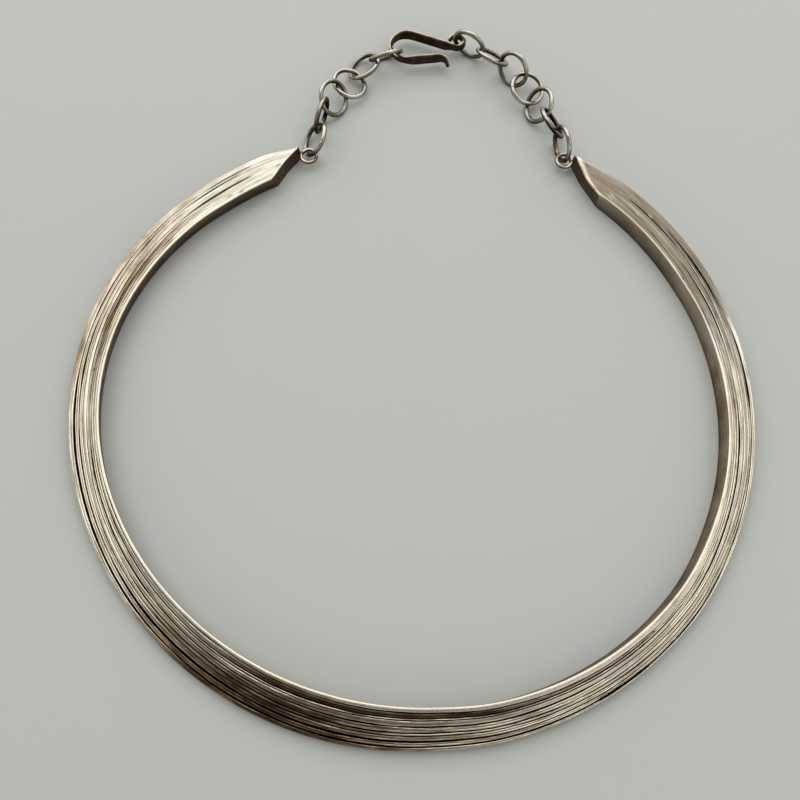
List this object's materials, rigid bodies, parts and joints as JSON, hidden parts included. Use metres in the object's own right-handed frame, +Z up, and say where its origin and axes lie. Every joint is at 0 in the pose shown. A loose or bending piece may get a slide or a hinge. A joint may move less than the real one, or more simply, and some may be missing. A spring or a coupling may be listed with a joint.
{
  "type": "wire choker",
  "caption": "Rigid silver collar of square wires soldered side by side, with mitred ends joined at the back by short chains of round links and a flat-forged hook.",
  "frame": {"origin": "on the surface that the choker lies on, under the middle of its outline", "axes": "+Z up, -Y towards the front of the neck, +Y towards the hook, +X towards the right end seen from above"},
  "size_m": [0.1402, 0.1622, 0.0086],
  "materials": {
    "collar_silver": "soft filed silver, warm brown tarnish between the wires",
    "link_silver": "satin silver, dulled in places",
    "hook_silver": "forged silver, dark brown tarnish with a worn bright edge"
  },
  "bodies": {
    "root": {"band": "collar_silver", "left_link_1": "link_silver", "left_link_2": "link_silver", "left_link_3": "link_silver", "left_link_4": "link_silver", "left_link_5": "link_silver", "left_link_6": "link_silver", "hook": "hook_silver", "right_link_7": "link_silver", "right_link_6": "link_silver", "right_link_5": "link_silver", "right_link_4": "link_silver", "right_link_3": "link_silver", "right_link_2": "link_silver", "right_link_1": "link_silver"}
  },
  "joints": []
}
